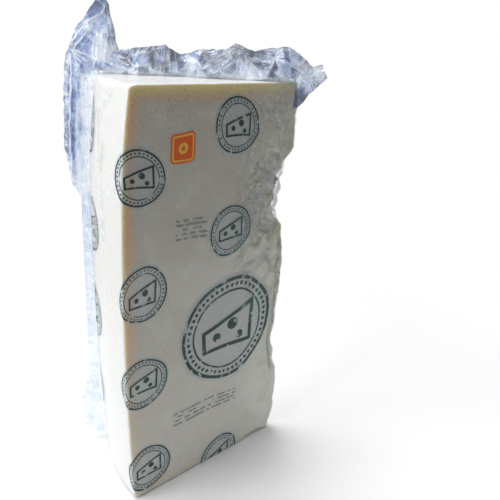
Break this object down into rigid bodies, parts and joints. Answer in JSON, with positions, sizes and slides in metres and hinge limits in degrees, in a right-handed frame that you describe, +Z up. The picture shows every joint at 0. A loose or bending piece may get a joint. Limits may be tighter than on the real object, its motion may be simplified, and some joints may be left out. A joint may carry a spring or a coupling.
{
  "type": "vacuum-packed hard cheese wedge",
  "caption": "Tall wedge of hard ewe's-milk cheese, cut from rind to heart, sealed in a clear printed vacuum bag with crumpled loose film at the top and side.",
  "frame": {"origin": "on the surface that the wedge stands on, under the middle of the pack's bounding box", "axes": "+Z up along the wheel's height, +X along the front cut from rind to heart, so the front cut faces -Y"},
  "size_m": [0.1654, 0.1048, 0.3475],
  "materials": {
    "cheese": "pale ivory cut cheese with a straw-yellow band under the rind, matt and slightly waxy",
    "film": "clear glossy plastic film, crumpled where it hangs free"
  },
  "bodies": {
    "root": {"cheese": "cheese", "bag": "film"}
  },
  "joints": []
}
